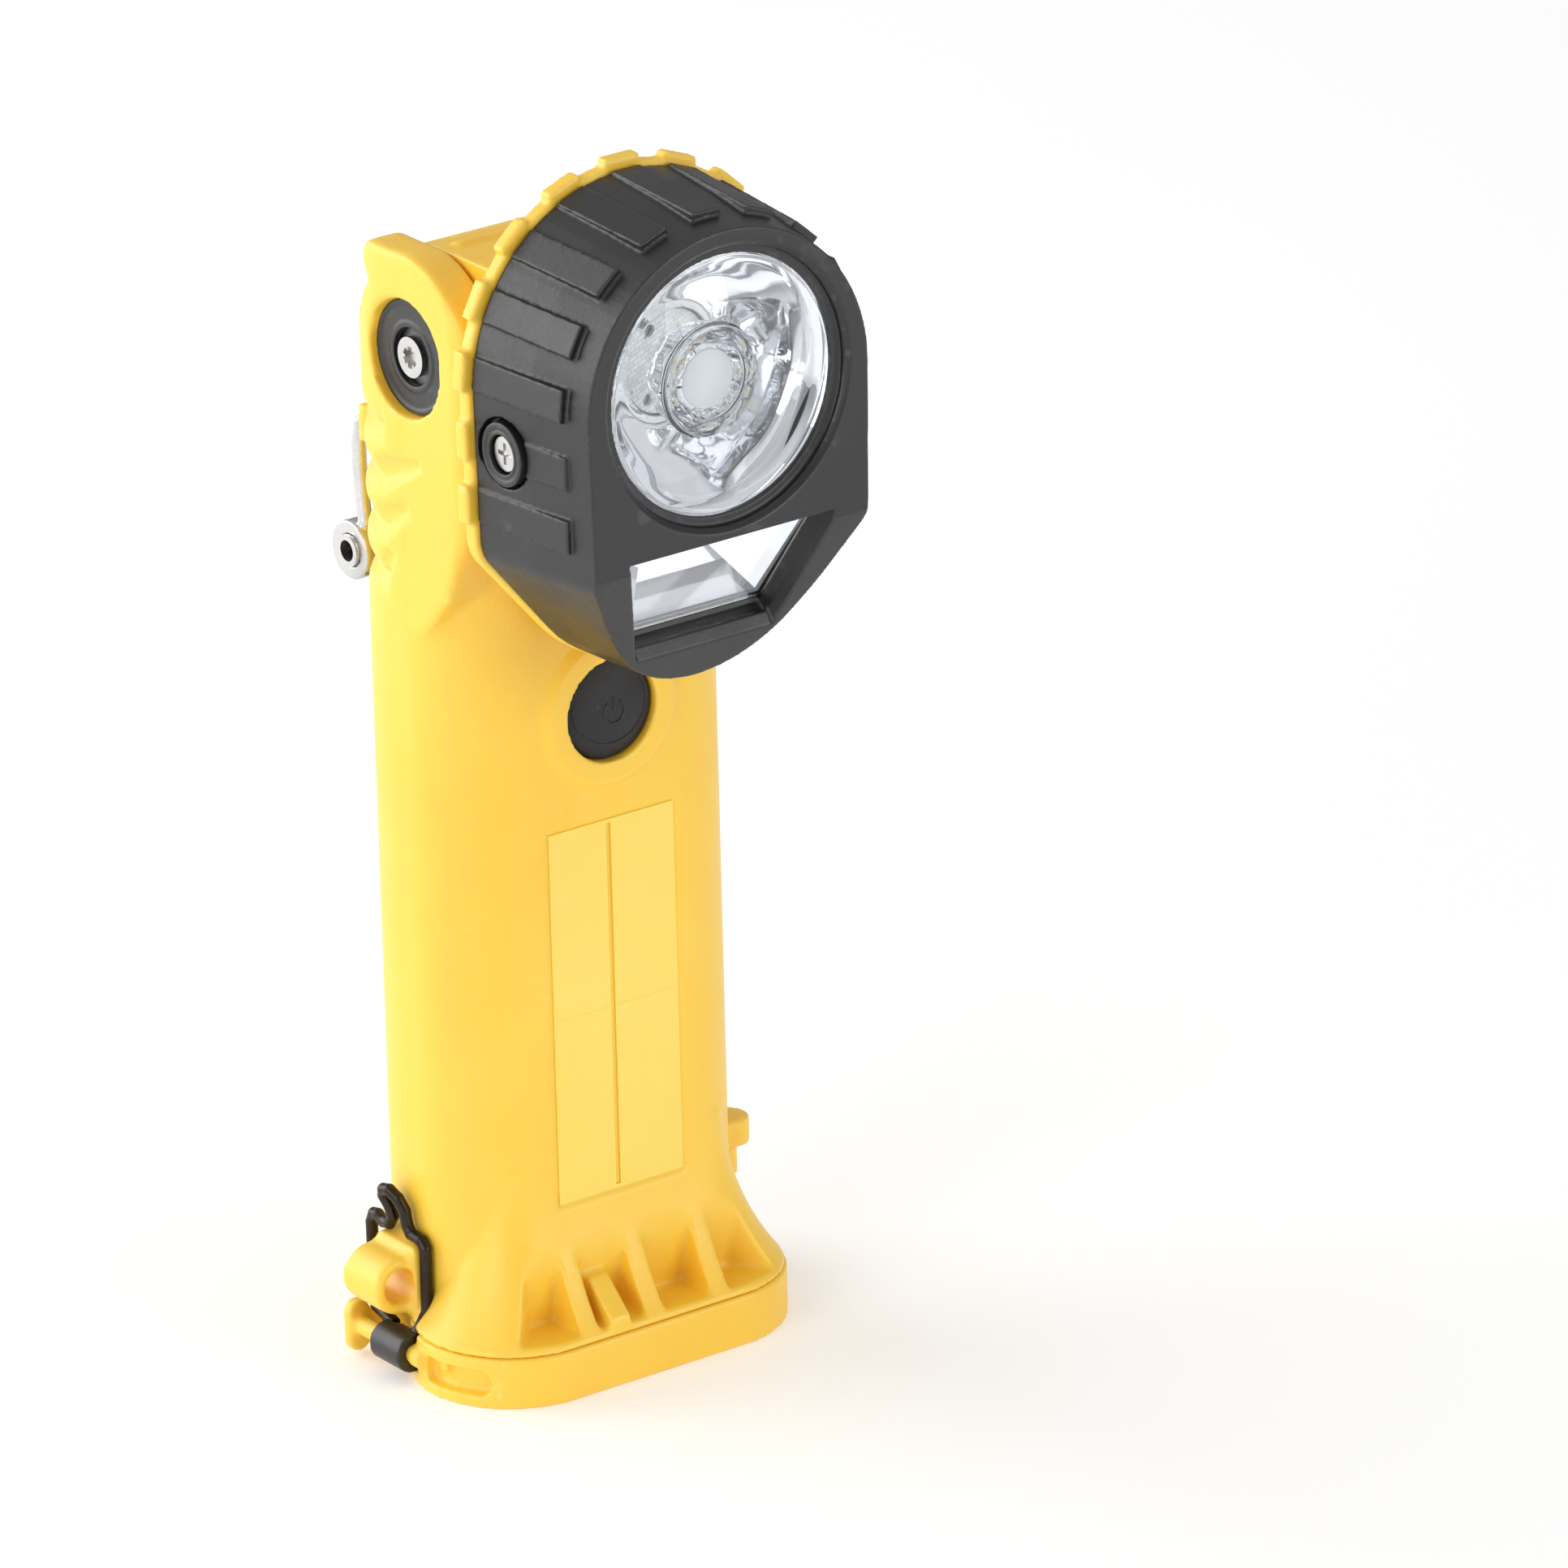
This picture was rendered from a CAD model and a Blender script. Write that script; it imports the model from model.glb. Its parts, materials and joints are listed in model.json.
"""A hand torch with a pivoting head, standing upright along Z on a studio floor.

The lens and the button face -Y. Lengths are in millimetres and are turned into
metres with MM, except in the shaders, the studio and the lights.
"""
import bpy, bmesh, json, math
import numpy as np
from mathutils import Matrix, Vector

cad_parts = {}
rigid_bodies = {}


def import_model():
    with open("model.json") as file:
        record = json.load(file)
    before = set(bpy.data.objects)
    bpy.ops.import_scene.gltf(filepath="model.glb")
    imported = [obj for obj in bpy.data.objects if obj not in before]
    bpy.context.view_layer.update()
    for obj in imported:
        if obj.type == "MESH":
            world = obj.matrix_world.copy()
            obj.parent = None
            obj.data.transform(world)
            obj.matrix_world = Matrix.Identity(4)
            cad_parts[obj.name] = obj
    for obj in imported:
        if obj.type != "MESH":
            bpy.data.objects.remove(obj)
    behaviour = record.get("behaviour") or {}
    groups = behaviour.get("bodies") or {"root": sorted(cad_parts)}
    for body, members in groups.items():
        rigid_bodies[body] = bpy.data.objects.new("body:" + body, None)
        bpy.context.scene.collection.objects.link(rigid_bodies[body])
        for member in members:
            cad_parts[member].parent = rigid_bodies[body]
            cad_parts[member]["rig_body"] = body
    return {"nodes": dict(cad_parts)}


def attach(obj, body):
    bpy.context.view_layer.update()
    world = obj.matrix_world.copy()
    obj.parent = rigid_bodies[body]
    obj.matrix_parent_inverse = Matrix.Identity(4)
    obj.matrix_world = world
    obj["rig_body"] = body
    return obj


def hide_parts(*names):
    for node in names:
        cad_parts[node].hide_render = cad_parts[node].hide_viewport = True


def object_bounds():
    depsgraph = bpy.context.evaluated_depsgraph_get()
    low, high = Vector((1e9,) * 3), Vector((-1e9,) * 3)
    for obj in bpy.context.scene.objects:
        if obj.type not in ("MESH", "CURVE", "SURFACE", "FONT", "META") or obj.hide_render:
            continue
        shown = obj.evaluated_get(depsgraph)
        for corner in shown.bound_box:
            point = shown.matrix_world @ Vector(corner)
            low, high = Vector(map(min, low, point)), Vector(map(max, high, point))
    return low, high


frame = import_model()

MM = 0.001
CAD_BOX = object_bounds()
NODES = frame["nodes"]

LAMP_Z = 169.0            # height of the lamp axis, which runs along Y at x = 0
BUTTON_Z = 107.8          # middle of the domed button
DOME_RADIUS = 19.9        # sphere of the button face
DOME_CENTRE_Y = 0.85
MARK_RADIUS = 0.17        # bar thickness of the button mark
MARK_LIFT = 0.02          # how far the power sign stands off the dome
POWER_RADIUS = 1.9
POWER_GAP = 0.65          # half of the opening in the power sign, radians


# ------------------------------------------------------------------ shader tools
def linear(rgb):
    """sRGB 0-255 to linear RGBA."""
    out = []
    for v in rgb:
        v /= 255.0
        out.append(v / 12.92 if v <= 0.04045 else ((v + 0.055) / 1.055) ** 2.4)
    return (*out, 1.0)


def scaled(colour, factor):
    return tuple(c * factor for c in colour[:3]) + (1.0,)


class Shader:
    """The node tree of a material or world, with short ways to add nodes.

    Wherever a value is asked for, a number, a tuple or an output socket will do.
    """

    def __init__(self, owner, space="Object"):
        owner.use_nodes = True
        self.owner = owner
        self.tree = owner.node_tree
        self.coord = self.node("ShaderNodeTexCoord").outputs[space]

    def node(self, kind, **settings):
        node = self.tree.nodes.new(kind)
        for key, value in settings.items():
            setattr(node, key, value)
        return node

    def feed(self, socket, value):
        if isinstance(value, (int, float, tuple)):
            socket.default_value = value
        else:
            self.tree.links.new(value, socket)

    def fill(self, node, **values):
        """Feed inputs by name, with _ standing for a space."""
        for name, value in values.items():
            self.feed(node.inputs[name.replace("_", " ")], value)
        return node

    def set(self, name, value):
        """Feed an input of the Principled BSDF."""
        self.feed(self.tree.nodes["Principled BSDF"].inputs[name], value)

    def noise(self, scale, detail=2.0, rough=0.5, vector=None):
        node = self.node("ShaderNodeTexNoise")
        self.fill(node, Scale=scale, Detail=detail, Roughness=rough, Vector=vector or self.coord)
        return node.outputs["Fac"]

    def cell_distance(self, scale):
        node = self.fill(self.node("ShaderNodeTexVoronoi"), Scale=scale, Vector=self.coord)
        return node.outputs["Distance"]

    def mapped(self, **mapping):
        node = self.fill(self.node("ShaderNodeMapping"), Vector=self.coord, **mapping)
        return node.outputs["Vector"]

    def span(self, value, over=(0.0, 1.0), to=(0.0, 1.0)):
        """Map the range `over` to the range `to`, clamped."""
        node = self.node("ShaderNodeMapRange")
        self.fill(node, From_Min=over[0], From_Max=over[1], To_Min=to[0], To_Max=to[1],
                  Value=value)
        return node.outputs["Result"]

    def math(self, operation, *values):
        node = self.node("ShaderNodeMath", operation=operation)
        for socket, value in zip(node.inputs, values):
            self.feed(socket, value)
        return node.outputs[0]

    def mix(self, factor, a, b):
        node = self.node("ShaderNodeMix", data_type="RGBA")
        # 0, 6 and 7 are the factor and the two colours
        for i, value in ((0, factor), (6, a), (7, b)):
            self.feed(node.inputs[i], value)
        return node.outputs[2]

    def bump(self, height, mm, over=None):
        """A bump `mm` deep, laid over an earlier normal if one is given."""
        node = self.fill(self.node("ShaderNodeBump"), Distance=mm * MM, Height=height)
        if over is not None:
            self.feed(node.inputs["Normal"], over)
        return node.outputs["Normal"]


def new_shader(name):
    return Shader(bpy.data.materials.new(name))


# ------------------------------------------------------------------ materials
def moulded(name, base, deep, light, rough, grain, depth, wear, sss=0.0, spec=0.5, streak=0.0,
            coat=0.0):
    """Moulded plastic or rubber: fine grain, slow tone drift, flow marks, rubbed edges."""
    base, deep, light = linear(base), linear(deep), linear(light)
    t = new_shader(name)
    drift = t.noise(scale=22.0, detail=3.0, rough=0.55)
    colour = t.mix(t.span(drift, over=(0.3, 0.7)), base, deep)

    edge = t.node("ShaderNodeNewGeometry").outputs["Pointiness"]
    patches = t.noise(scale=90.0, detail=4.0, rough=0.6)
    rub = t.math("MULTIPLY", t.span(edge, over=(0.515, 0.58)),
                 t.span(patches, over=(0.35, 0.65), to=(0.25, 1.0)))
    rub = t.math("MULTIPLY", rub, wear)
    colour = t.mix(rub, colour, light)
    hollow = t.span(edge, over=(0.40, 0.49), to=(1.0, 0.0))
    hollow_tint = 0.35
    colour = t.mix(t.math("MULTIPLY", hollow, hollow_tint), colour, deep)
    fine = t.noise(scale=grain, detail=1.5)
    specks = t.span(t.noise(scale=grain * 0.45, rough=0.6), over=(0.62, 0.78))
    speck_tint = 0.07
    colour = t.mix(t.math("MULTIPLY", specks, speck_tint), colour, light)
    t.set("Base Color", colour)

    shine = t.span(t.noise(scale=60.0, detail=3.0, rough=0.6), over=(0.3, 0.7), to=rough)
    rub_polish = 0.12
    shine = t.math("SUBTRACT", shine, t.math("MULTIPLY", rub, rub_polish))
    shine = t.math("ADD", shine, t.span(fine, over=(0.3, 0.7), to=(-0.035, 0.035)))
    t.set("Roughness", shine)

    normal = t.bump(fine, mm=depth)
    normal = t.bump(t.noise(scale=grain * 0.28), mm=depth * 0.9, over=normal)
    normal = t.bump(t.noise(scale=70.0), mm=0.05, over=normal)
    if streak:
        flow = t.noise(scale=300.0, vector=t.mapped(Scale=(1, 1, 0.04)))
        normal = t.bump(flow, mm=streak, over=normal)
    t.set("Normal", normal)
    t.set("Specular IOR Level", spec)
    if sss:
        t.set("Subsurface Weight", sss)
        t.set("Subsurface Scale", 0.0016)
        t.set("Subsurface Radius", (1.0, 0.55, 0.15))
    if coat:
        t.set("Coat Weight", coat)
        t.set("Coat Roughness", 0.35)
    return t.owner


def metal(name, base, dark, rough, scale, brush=(1, 1, 1), depth=0.004, scratch=0.3):
    """Drawn, turned or stamped metal: stretched tool marks, scratches and handling stain."""
    base, dark = linear(base), linear(dark)
    t = new_shader(name)
    lines = t.noise(scale=scale, detail=3.0, rough=0.65, vector=t.mapped(Scale=brush))
    stain = t.noise(scale=55.0, detail=4.0, rough=0.6)
    colour = t.mix(t.span(stain, over=(0.42, 0.75), to=(0.0, 0.55)), base, dark)
    marks = t.math("MULTIPLY", t.span(lines, over=(0.55, 0.8)), scratch)
    t.set("Base Color", t.mix(marks, colour, dark))
    t.set("Metallic", 1.0)
    shine = t.span(lines, over=(0.25, 0.75), to=rough)
    shine = t.math("ADD", shine, t.span(stain, over=(0.3, 0.8), to=(-0.03, 0.08)))
    t.set("Roughness", shine)
    t.set("Normal", t.bump(lines, mm=depth))
    return t.owner


def clear(name, tint, ior, fog, rough=0.0):
    """Clear polycarbonate: lets lamps through, with faint ripple and hairline marks."""
    t = new_shader(name)
    t.set("Base Color", tint)
    t.set("Transmission Weight", 1.0)
    t.set("IOR", ior)
    hair = t.noise(scale=420.0, detail=4.0, rough=0.7, vector=t.mapped(Scale=(1, 1, 0.12)))
    hair = t.span(hair, over=(0.68, 0.8))
    t.set("Roughness", t.math("ADD", t.math("MULTIPLY", hair, fog), rough))
    t.set("Normal", t.bump(t.noise(scale=45.0, detail=1.0, rough=0.4), mm=0.012))

    # Shadow rays and most diffuse rays pass straight through, a little tinted.
    rays = t.node("ShaderNodeLightPath").outputs
    through = t.node("ShaderNodeBsdfTransparent")
    t.fill(through, Color=tuple(0.35 + 0.65 * c for c in tint[:3]) + (1.0,))
    choice = t.node("ShaderNodeMixShader")
    diffuse_share = 0.9
    passing = t.math("MAXIMUM", rays["Is Shadow Ray"],
                     t.math("MULTIPLY", rays["Is Diffuse Ray"], diffuse_share))
    bsdf = t.tree.nodes["Principled BSDF"]
    for socket, value in zip(choice.inputs, (passing, bsdf.outputs[0], through.outputs[0])):
        t.feed(socket, value)
    t.fill(t.tree.nodes["Material Output"], Surface=choice.outputs[0])
    return t.owner


def mirror(name, ripple_scale, glow):
    """Vacuum-plated plastic: slow ripple, slight stain and a faint glow."""
    base = (0.93, 0.935, 0.95, 1.0)
    t = new_shader(name)
    stain = t.noise(scale=120.0, detail=3.0, rough=0.6)
    stain = t.span(stain, over=(0.45, 0.8), to=(0.0, 0.4))
    t.set("Base Color", t.mix(stain, base, scaled(base, 0.86)))
    t.set("Metallic", 1.0)
    haze = t.noise(scale=240.0, detail=3.0, rough=0.6)
    t.set("Roughness", t.span(haze, over=(0.35, 0.8), to=(0.03, 0.08)))
    normal = t.bump(t.noise(scale=ripple_scale, detail=1.5), mm=0.02)
    t.set("Normal", t.bump(t.noise(scale=1500.0), mm=0.0006, over=normal))
    t.set("Emission Color", (0.9, 0.93, 1.0, 1.0))
    t.set("Emission Strength", glow)
    return t.owner


def board(name, base, trace, pad):
    """Circuit board: a brick grid of traces with round metal pads."""
    base = linear(base)
    t = new_shader(name)
    grid = t.node("ShaderNodeTexBrick")
    t.fill(grid, Scale=260.0, Mortar_Size=0.018, Color1=base, Color2=scaled(base, 1.25),
           Mortar=linear(trace), Vector=t.mapped(Rotation=(math.pi / 2, 0, 0.3)))
    spot = t.span(t.cell_distance(scale=340.0), over=(0.12, 0.16), to=(1.0, 0.0))
    t.set("Base Color", t.mix(spot, grid.outputs["Color"], linear(pad)))
    pad_metal = 0.8
    t.set("Metallic", t.math("MULTIPLY", spot, pad_metal))
    t.set("Roughness", t.span(t.noise(scale=300.0), to=(0.28, 0.45)))
    t.set("Normal", t.bump(grid.outputs["Fac"], mm=0.02))
    return t.owner


def frosted():
    t = new_shader("m_frosted")
    t.set("Base Color", t.mix(t.noise(scale=200.0), (0.86, 0.89, 0.93, 1), (0.95, 0.96, 0.98, 1)))
    t.set("Transmission Weight", 0.35)
    t.set("Roughness", t.span(t.noise(scale=900.0), to=(0.45, 0.6)))
    t.set("Normal", t.bump(t.noise(scale=2600.0, detail=1.0), mm=0.01))
    t.set("IOR", 1.45)
    return t.owner


def phosphor():
    """Yellow LED face with a fine cellular mottle."""
    t = new_shader("m_led")
    mottle = t.span(t.cell_distance(scale=900.0), over=(0.1, 0.6))
    t.set("Base Color", t.mix(mottle, linear((250, 222, 90)), linear((236, 190, 50))))
    t.set("Roughness", t.span(t.noise(scale=700.0), to=(0.3, 0.5)))
    t.set("Normal", t.bump(t.noise(scale=1200.0), mm=0.01))
    return t.owner


def jacket():
    """Cell wrapper: dark above, light below, with a red ring near the join."""
    dark_from, ring_z, ring_half = 0.0497, 0.0492, 0.0006  # heights in metres
    t = new_shader("m_jacket")
    split = t.node("ShaderNodeSeparateXYZ")
    t.feed(split.inputs[0], t.coord)
    z = split.outputs["Z"]
    upper = t.math("GREATER_THAN", z, dark_from)
    ring = t.math("LESS_THAN", t.math("ABSOLUTE", t.math("SUBTRACT", z, ring_z)), ring_half)
    tone = t.noise(scale=40.0, detail=3.0, rough=0.6)
    light = t.mix(tone, linear((196, 192, 190)), linear((216, 213, 211)))
    dark = t.mix(tone, linear((58, 48, 46)), linear((74, 63, 60)))
    colour = t.mix(upper, light, dark)
    t.set("Base Color", t.mix(ring, colour, linear((150, 36, 34))))
    t.set("Metallic", t.mix(upper, (0.35, 0.35, 0.35, 1), (0.1, 0.1, 0.1, 1)))
    gloss = t.noise(scale=160.0, detail=3.0, rough=0.6)
    t.set("Roughness", t.span(gloss, over=(0.3, 0.7), to=(0.22, 0.36)))
    creases = t.noise(scale=30.0, detail=3.0, vector=t.mapped(Scale=(1, 1, 0.1)))
    t.set("Normal", t.bump(creases, mm=0.03))
    t.set("Coat Weight", 0.4)
    return t.owner


YELLOW_FINISH = dict(light=(255, 230, 132), sss=0.1, spec=0.6, coat=0.22)
YELLOW = moulded("m_yellow", base=(250, 206, 66), deep=(246, 197, 50), rough=(0.4, 0.52),
                 grain=1500.0, depth=0.05, wear=0.4, **YELLOW_FINISH)
YELLOW_FLAT = moulded("m_yellow_label", base=(253, 217, 88), deep=(251, 210, 74),
                      rough=(0.38, 0.48), grain=2300.0, depth=0.014, wear=0.2, **YELLOW_FINISH)
BLACK = moulded("m_black", base=(22, 22, 24), deep=(14, 14, 16), light=(84, 84, 88),
                rough=(0.35, 0.46), grain=1700.0, depth=0.02, wear=0.35, spec=0.66)
RUBBER = moulded("m_rubber", base=(36, 36, 37), deep=(26, 26, 27), light=(80, 80, 82),
                 rough=(0.5, 0.64), grain=1500.0, depth=0.024, wear=0.3, spec=0.42)
CARRIER = moulded("m_carrier", base=(22, 21, 21), deep=(13, 13, 13), light=(70, 68, 66),
                  rough=(0.24, 0.36), grain=900.0, depth=0.008, wear=0.3, streak=0.01)
STEEL = metal("m_steel", base=(214, 213, 210), dark=(150, 148, 144), rough=(0.2, 0.34),
              scale=700.0)
STEEL_BRUSH = metal("m_steel_brushed", base=(206, 205, 202), dark=(140, 138, 134),
                    rough=(0.24, 0.4), scale=260.0, brush=(9, 1, 0.5), depth=0.006, scratch=0.4)
STEEL_WIRE = metal("m_steel_wire", base=(210, 209, 206), dark=(140, 138, 134),
                   rough=(0.14, 0.26), scale=800.0, brush=(1, 1, 0.2), depth=0.003)
DARK_WIRE = metal("m_dark_wire", base=(66, 60, 54), dark=(34, 30, 26), rough=(0.24, 0.38),
                  scale=600.0, depth=0.005, scratch=0.5)
NICKEL = metal("m_nickel", base=(218, 216, 208), dark=(170, 166, 156), rough=(0.14, 0.26),
               scale=500.0)
GOLD = metal("m_gold", base=(232, 190, 98), dark=(176, 130, 50), rough=(0.18, 0.3), scale=600.0)
ALU = metal("m_alu", base=(196, 198, 202), dark=(150, 152, 156), rough=(0.28, 0.42),
            scale=400.0, depth=0.008)
AXLE = metal("m_axle", base=(120, 121, 124), dark=(70, 70, 72), rough=(0.3, 0.45),
             scale=400.0, depth=0.006)
LENS = clear("m_lens", tint=(0.97, 0.985, 1.0, 1.0), ior=1.5, fog=0.03)
OPTIC = clear("m_optic", tint=(0.95, 0.97, 1.0, 1.0), ior=1.46, fog=0.02)
CHROME = mirror("m_chrome", ripple_scale=55.0, glow=0.1)
CHROME_CHIN = mirror("m_chrome_chin", ripple_scale=90.0, glow=0.16)
BOARD = board("m_board", base=(18, 84, 44), trace=(36, 120, 66), pad=(214, 190, 120))
BOARD_WHITE = board("m_board_white", base=(226, 228, 224), trace=(206, 208, 204),
                    pad=(190, 186, 172))
CHIP = moulded("m_chip", base=(40, 40, 42), deep=(28, 28, 30), light=(120, 120, 122),
               rough=(0.4, 0.5), grain=2500.0, depth=0.006, wear=0.2)
FROST = frosted()
LED = phosphor()
JACKET = jacket()

# Material, then the CAD nodes made of it.
MATERIAL_NODES = (
    (YELLOW, "body_shell tail_door head_housing"),
    (YELLOW_FLAT, "label_plate"),
    (RUBBER, "door_gasket button_boot lens_seal pivot_seals"),
    (BLACK, "latch_sleeve bezel screw_bushes pivot_caps"),
    (CARRIER, "carrier_frame"),
    (CHIP, "switch board_parts"),
    (STEEL, "door_hinge_pin bezel_screws pivot_screws clip_bracket clip_pin"),
    (STEEL_BRUSH, "belt_clip"),
    (STEEL_WIRE, "carrier_springs clip_spring"),
    (DARK_WIRE, "latch_bail"),
    (NICKEL, "cells cell_buttons carrier_contacts"),
    (GOLD, "bay_contacts"),
    (ALU, "heat_sink"),
    (AXLE, "pivot_axles"),
    (LENS, "lens chin_window"),
    (OPTIC, "optic"),
    (CHROME, "reflector"),
    (CHROME_CHIN, "chin_reflector"),
    (BOARD, "control_board"),
    (BOARD_WHITE, "led_board"),
    (LED, "led chin_led"),
    (JACKET, "cell_jackets"),
)
MATERIAL_OF = {node: mat for mat, names in MATERIAL_NODES for node in names.split()}
for node_name, cad_object in NODES.items():
    cad_object.data.materials.clear()
    cad_object.data.materials.append(MATERIAL_OF[node_name])


# ------------------------------------------------------------------ mesh tools
def new_object(name, data):
    ob = bpy.data.objects.new(name, data)
    bpy.context.scene.collection.objects.link(ob)
    return ob


def stand_in(ob, node):
    """Let an object take the place of a CAD node."""
    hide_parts(node)


def apply_modifiers(ob):
    """Swap the object's mesh for its modified one, and drop the old mesh."""
    graph = bpy.context.evaluated_depsgraph_get()
    mesh = bpy.data.meshes.new_from_object(ob.evaluated_get(graph), depsgraph=graph)
    ob.modifiers.clear()
    old = ob.data
    ob.data = mesh
    bpy.data.meshes.remove(old)


def melt(mesh, boxes):
    """Extra rounding inside boxes: points move towards the mean of their neighbours."""
    full_step = 0.6
    count = len(mesh.vertices)
    points = np.empty(count * 3)
    mesh.vertices.foreach_get("co", points)
    points = points.reshape(-1, 3)
    edges = np.empty(len(mesh.edges) * 2, dtype=np.int64)
    mesh.edges.foreach_get("vertices", edges)
    edges = edges.reshape(-1, 2)
    degree = np.bincount(edges.ravel(), minlength=count).astype(float)[:, None]
    for low, high, feather, passes in boxes:
        low, high = np.array(low) * MM, np.array(high) * MM
        depth = np.minimum(points - low, high - points).min(1) / (feather * MM)
        weight = np.clip(depth, 0.0, 1.0)[:, None] * full_step
        moving = np.flatnonzero(weight[:, 0] > 0)
        near = edges[(weight[edges[:, 0], 0] > 0) | (weight[edges[:, 1], 0] > 0)]
        for _ in range(passes):
            total = np.zeros_like(points)
            np.add.at(total, near[:, 0], points[near[:, 1]])
            np.add.at(total, near[:, 1], points[near[:, 0]])
            mean = total[moving] / degree[moving]
            points[moving] += (mean - points[moving]) * weight[moving]
    mesh.vertices.foreach_set("co", points.ravel())
    mesh.update()


def soften(name, node, voxel, smooth, max_triangles, boxes=()):
    """A moulded copy of a CAD solid, its edges melted to the small radii a mould leaves."""
    ob = new_object(name, NODES[node].data.copy())
    ob.data.materials.clear()
    remesh = ob.modifiers.new("r", "REMESH")
    remesh.mode = "VOXEL"
    remesh.voxel_size = voxel * MM * 1.0
    relax = ob.modifiers.new("s", "SMOOTH")
    relax.factor = 0.5
    relax.iterations = smooth
    apply_modifiers(ob)
    if boxes:
        melt(ob.data, boxes)
    triangles = 2 * len(ob.data.polygons)
    if triangles > max_triangles:
        ob.modifiers.new("d", "DECIMATE").ratio = max_triangles / triangles
        apply_modifiers(ob)
    ob.data.shade_smooth()
    ob.data.materials.clear()
    ob.data.materials.append(MATERIAL_OF[node])
    ob["stands_for"] = node
    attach(ob, NODES[node]["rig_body"])
    stand_in(ob, node)


def finish_mesh(name, bm, material, body):
    mesh = bpy.data.meshes.new(name)
    bmesh.ops.recalc_face_normals(bm, faces=bm.faces)
    bm.to_mesh(mesh)
    bm.free()
    mesh.shade_smooth()
    mesh.materials.append(material)
    ob = new_object(name, mesh)
    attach(ob, body)
    return ob


def lathe(name, profile, material, segments, closed=False, wobble=None):
    """A piece of the head turned about the lamp axis; the profile is (radius, y).

    A closed profile is joined end to start. wobble(angle, radius) scales the radius.
    """
    bm = bmesh.new()
    rings = []
    for radius, y in profile:
        if radius == 0:
            rings.append([bm.verts.new((0, y * MM, LAMP_Z * MM))] * segments)
            continue
        ring = []
        for i in range(segments):
            a = 2 * math.pi * i / segments
            r = radius * (wobble(a, radius) if wobble else 1.0)
            ring.append(bm.verts.new((r * math.cos(a) * MM, y * MM,
                                      (LAMP_Z + r * math.sin(a)) * MM)))
        rings.append(ring)
    pairs = list(zip(rings, rings[1:]))
    if closed:
        pairs.append((rings[-1], rings[0]))
    for near, far in pairs:
        for i in range(segments):
            j = (i + 1) % segments
            # On the axis the two corners are one, which leaves a triangle.
            bm.faces.new(list(dict.fromkeys((near[i], near[j], far[j], far[i]))))
    return finish_mesh(name, bm, material, "head")


def tube(name, paths, radius, material, body, segments=10):
    """Round bars along polylines, with pointed caps; no path may start along Z."""
    cap_length = 0.7  # as a share of the radius
    angles = [2 * math.pi * k / segments for k in range(segments)]
    bm = bmesh.new()
    for path in paths:
        points = [Vector(p) for p in path]
        rings = []
        side = None
        for i, p in enumerate(points):
            along = (points[min(i + 1, len(points) - 1)] - points[max(i - 1, 0)]).normalized()
            if side is None:
                side = along.cross(Vector((0, 0, 1)))
            else:
                side = side - along * side.dot(along)
            side.normalize()
            up = along.cross(side)
            rings.append([bm.verts.new((p + (side * math.cos(a) + up * math.sin(a)) * radius)
                                       * MM) for a in angles])
        for near, far in zip(rings, rings[1:]):
            for i in range(segments):
                j = (i + 1) % segments
                bm.faces.new((near[i], near[j], far[j], far[i]))
        for ring, end, inward in ((rings[0], points[0], points[1]),
                                  (rings[-1], points[-1], points[-2])):
            tip = end + (end - inward).normalized() * radius * cap_length
            tip = bm.verts.new(tip * MM)
            for i in range(segments):
                bm.faces.new((ring[i], ring[(i + 1) % segments], tip))
    return finish_mesh(name, bm, material, body)


# ------------------------------------------------------------------ moulded pieces
# Low corner, high corner, feather, passes.
SHELL_BOXES = (
    # upper part, both sides
    ((-30, -26, 169), (-20, 20, 190), 1.5, 9),
    ((20, -26, 169), (30, 20, 190), 1.5, 9),
    # -Y corners at mid height
    ((-30, -26, 118), (-16, -4, 146), 4, 20),
    ((16, -26, 118), (30, -4, 146), 4, 20),
    # low strip on the -Y face
    ((-24, -23, 19), (24, -16.5, 26.8), 2, 14),
    # low on the -X side
    ((-36, -5, 8), (-24, 10, 22), 1, 6),
)
# Name, CAD node, voxel size, smoothing passes, most triangles, melted boxes.
MOULDED_PIECES = (
    ("shell_moulding", "body_shell", 0.5, 2, 198000, SHELL_BOXES),
    ("door_moulding", "tail_door", 0.42, 3, 90000),
    ("head_moulding", "head_housing", 0.42, 3, 120000),
    ("bezel_moulding", "bezel", 0.24, 1, 198000),
    ("button_cap", "button_boot", 0.28, 3, 30000),
    ("sleeve_moulding", "latch_sleeve", 0.22, 2, 16000),
    ("cap_rings", "pivot_caps", 0.22, 2, 30000),
    ("screw_bosses", "screw_bushes", 0.2, 2, 24000),
    ("carrier_moulding", "carrier_frame", 0.5, 2, 90000),
    ("gasket_cord", "door_gasket", 0.3, 2, 24000),
    ("clip_blade", "belt_clip", 0.26, 2, 40000),
    ("clip_knuckles", "clip_bracket", 0.26, 2, 40000),
    ("bail_wire", "latch_bail", 0.22, 3, 30000),
)
for piece in MOULDED_PIECES:
    soften(*piece)

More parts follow.
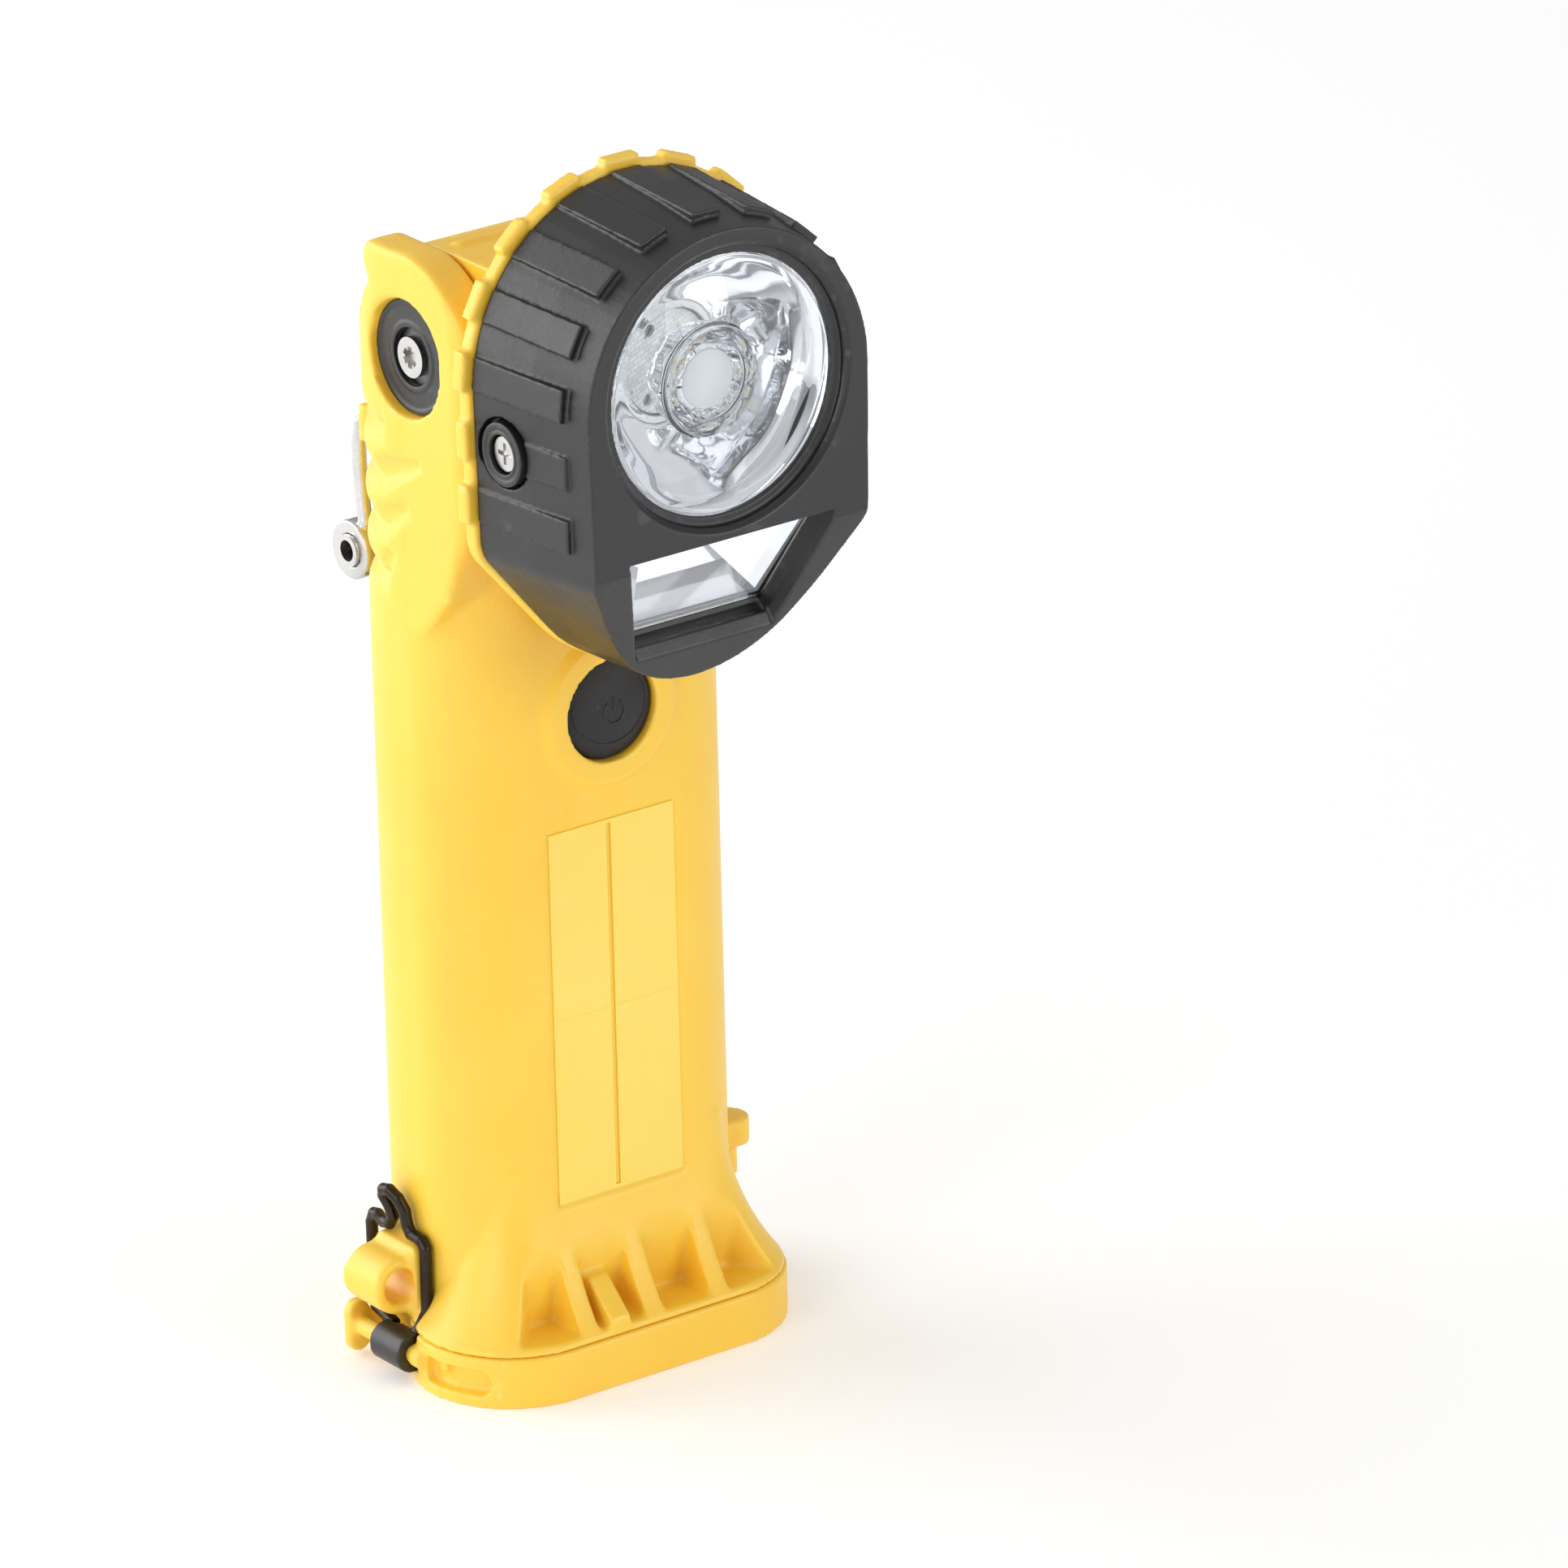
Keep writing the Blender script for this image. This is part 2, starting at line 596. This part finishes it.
# ------------------------------------------------------------------ lamp
# Profiles are (radius, y); a smaller y is nearer the front.
LENS_PROFILE = [
    (0, -46.5), (17.2, -46.5), (18.6, -45.8), (22.2, -45.75), (22.25, -47.0), (20.35, -47.1),
    (20.12, -47.4), (20.1, -48.7), (19.9, -48.95), (19.5, -49.02), (18.9, -48.9),
    (12.0, -49.0), (0, -49.06)]
BOWL_OUTSIDE = [
    (9.95, -30.65), (12.6, -32.8), (14.2, -34.2), (15.6, -35.8), (16.9, -37.4), (18.0, -39.2),
    (19.0, -41.1), (19.9, -43.0), (20.5, -44.75), (22.15, -44.85), (22.15, -45.55),
    (20.05, -45.55), (19.6, -44.4)]
BOWL_INSIDE = [
    (18.9, -43.0), (17.9, -41.1), (17.0, -39.5), (15.9, -37.8), (14.7, -36.5), (13.2, -35.0),
    (11.8, -33.7), (9.95, -31.8)]
OPTIC_PROFILE = [
    (0, -35.0), (2.4, -34.8), (3.2, -31.7), (4.7, -31.7), (6.9, -35.6), (8.3, -39.9),
    (8.8, -43.6), (8.8, -44.6), (6.4, -44.75), (6.2, -43.4), (5.0, -43.2), (4.4, -43.6),
    (0, -43.8)]
DOT_PROFILE = [(0, -43.9), (4.3, -43.9), (4.75, -44.1), (4.8, -44.3), (4.6, -44.5), (0, -44.56)]
FLANGE_PROFILE = [
    (6.3, -44.8), (9.1, -44.8), (9.15, -44.9), (9.1, -44.99), (6.3, -44.99), (6.2, -44.9)]


def flute(angle, radius):
    """Soft nine- and five-lobed waves, fading out at the hole and at the rim."""
    fade_in = max(0.0, min(1.0, (radius - 10.5) / 4.0))
    fade_out = max(0.0, min(1.0, (20.2 - radius) / 2.0))
    fade = fade_in * fade_out
    return (1.0 + 0.004 * fade * math.cos(9 * angle + 0.6)
            + 0.0025 * fade * math.cos(5 * angle + 2.0))


def facet(angle, radius):
    """Twelve raised flutes around the wide part of the optic."""
    height = 0.035 if 4.9 < radius < 9.0 else 0.0
    return 1.0 + height * (1 if math.cos(12 * angle) > 0 else -0.4)


stand_in(lathe("lens_window", LENS_PROFILE, LENS, 144), "lens")
stand_in(lathe("reflector_bowl", BOWL_OUTSIDE + BOWL_INSIDE, CHROME, 144, closed=True,
               wobble=flute), "reflector")
stand_in(lathe("optic_cup", OPTIC_PROFILE, OPTIC, 96, wobble=facet), "optic")
lathe("optic_dot", DOT_PROFILE, FROST, 72)
lathe("optic_flange", FLANGE_PROFILE, OPTIC, 72, closed=True)


# ------------------------------------------------------------------ button mark
def on_dome(x, z, lift=0.0):
    """The point of the button face at x and at z above its middle."""
    y = DOME_CENTRE_Y - math.sqrt(DOME_RADIUS ** 2 - x * x - z * z) - lift
    return (x, y, BUTTON_Z + z)


def button_mark():
    """A power sign and one curved crease around it."""
    arc = [on_dome(POWER_RADIUS * math.sin(a), POWER_RADIUS * math.cos(a), MARK_LIFT)
           for a in np.linspace(POWER_GAP, 2 * math.pi - POWER_GAP, 28)]
    bar = [on_dome(0, z, MARK_LIFT) for z in np.linspace(0.3, 2.4, 6)]
    crease = [on_dome(6.9 * math.cos(a), 0.9 + 6.3 * math.sin(a))
              for a in np.linspace(-math.pi - 0.1, 0.55, 48)]
    mark = tube("button_mark", [arc, bar, crease], MARK_RADIUS, RUBBER, "button")


button_mark()


# ------------------------------------------------------------------ studio, in metres
def studio_floor():
    gap = 0.0001
    bpy.ops.mesh.primitive_plane_add(size=12.0, location=(0, 0, CAD_BOX[0][2] - gap))
    floor = bpy.context.object
    floor.name = "studio_floor"
    t = new_shader("m_floor")
    t.set("Base Color", t.mix(t.noise(scale=3.0), (0.86, 0.86, 0.86, 1), (0.88, 0.88, 0.88, 1)))
    t.set("Roughness", 0.7)
    t.set("Emission Color", (1.0, 1.0, 1.0, 1.0))
    t.set("Emission Strength", 0.23)
    floor.data.materials.append(t.owner)


def studio_world():
    """Grey bands by height for the reflections, and an even grey for the camera."""
    world = bpy.data.worlds.new("studio")
    bpy.context.scene.world = world
    t = Shader(world, space="Generated")
    split = t.node("ShaderNodeSeparateXYZ")
    t.feed(split.inputs[0], t.coord)
    ramp = t.node("ShaderNodeValToRGB")
    stops = ramp.color_ramp.elements
    stops[0].color = (0.62, 0.62, 0.63, 1)
    stops[1].color = (1.0, 1.0, 1.0, 1)
    for position, grey in ((0.42, 0.5), (0.55, 0.35), (0.7, 0.95)):
        stops.new(position).color = (grey, grey, grey * 1.01, 1)
    t.feed(ramp.inputs[0], t.span(split.outputs["Z"], over=(-1, 1)))
    to_camera = t.node("ShaderNodeLightPath").outputs["Is Camera Ray"]
    sky = t.mix(to_camera, ramp.outputs[0], (0.93, 0.93, 0.93, 1))
    t.fill(t.tree.nodes["Background"], Color=sky, Strength=0.58)


LIGHT_TARGET = Vector((0, 0, 0.1))
# Name, place, width and height, watts.
LIGHTS = (
    ("key_left_back", (-1.0, 1.4, 0.7), (1.9, 1.5), 27.0),
    ("left", (-1.7, -0.5, 0.6), (1.2, 1.0), 11.0),
    ("front", (0.9, -1.9, 0.6), (1.2, 1.0), 13.5),
    ("top", (0.1, -0.1, 1.9), (1.2, 1.2), 1.6),
)


def area_light(name, place, size, watts):
    light = bpy.data.lights.new(name, "AREA")
    light.shape = "RECTANGLE"
    light.size, light.size_y = size
    light.energy = watts
    ob = new_object(name, light)
    ob.location = place
    ob.rotation_euler = (LIGHT_TARGET - Vector(place)).to_track_quat("-Z", "Y").to_euler()


studio_floor()
studio_world()
for row in LIGHTS:
    area_light(*row)

# ------------------------------------------------------------------ camera
AZIMUTH, ELEVATION, ROLL = map(np.radians, (36.26, 21.56, 1.38))  # azimuth from -Y to -X
# Camera place from the origin, in mm along its own axes.
CAMERA_RIGHT, CAMERA_UP, CAMERA_BACK = 34.853503, 83.821656, 1934.267516


def camera():
    back = np.array([-np.sin(AZIMUTH) * np.cos(ELEVATION),
                     -np.cos(AZIMUTH) * np.cos(ELEVATION), np.sin(ELEVATION)])
    level = np.array([np.cos(AZIMUTH), -np.sin(AZIMUTH), 0.0])
    upright = np.cross(back, level)
    right = level * np.cos(ROLL) - upright * np.sin(ROLL)
    up = level * np.sin(ROLL) + upright * np.cos(ROLL)
    place = right * CAMERA_RIGHT + up * CAMERA_UP + back * CAMERA_BACK

    data = bpy.data.cameras.new("camera")
    data.sensor_width = 36.0
    data.lens = 282.931677
    data.clip_end = 50.0
    ob = new_object("camera", data)
    pose = np.eye(4)
    pose[:3] = np.column_stack((right, up, back, place * MM))
    ob.matrix_world = Matrix(pose.tolist())
    bpy.context.scene.camera = ob


camera()
bpy.context.scene.view_settings.view_transform = "Standard"
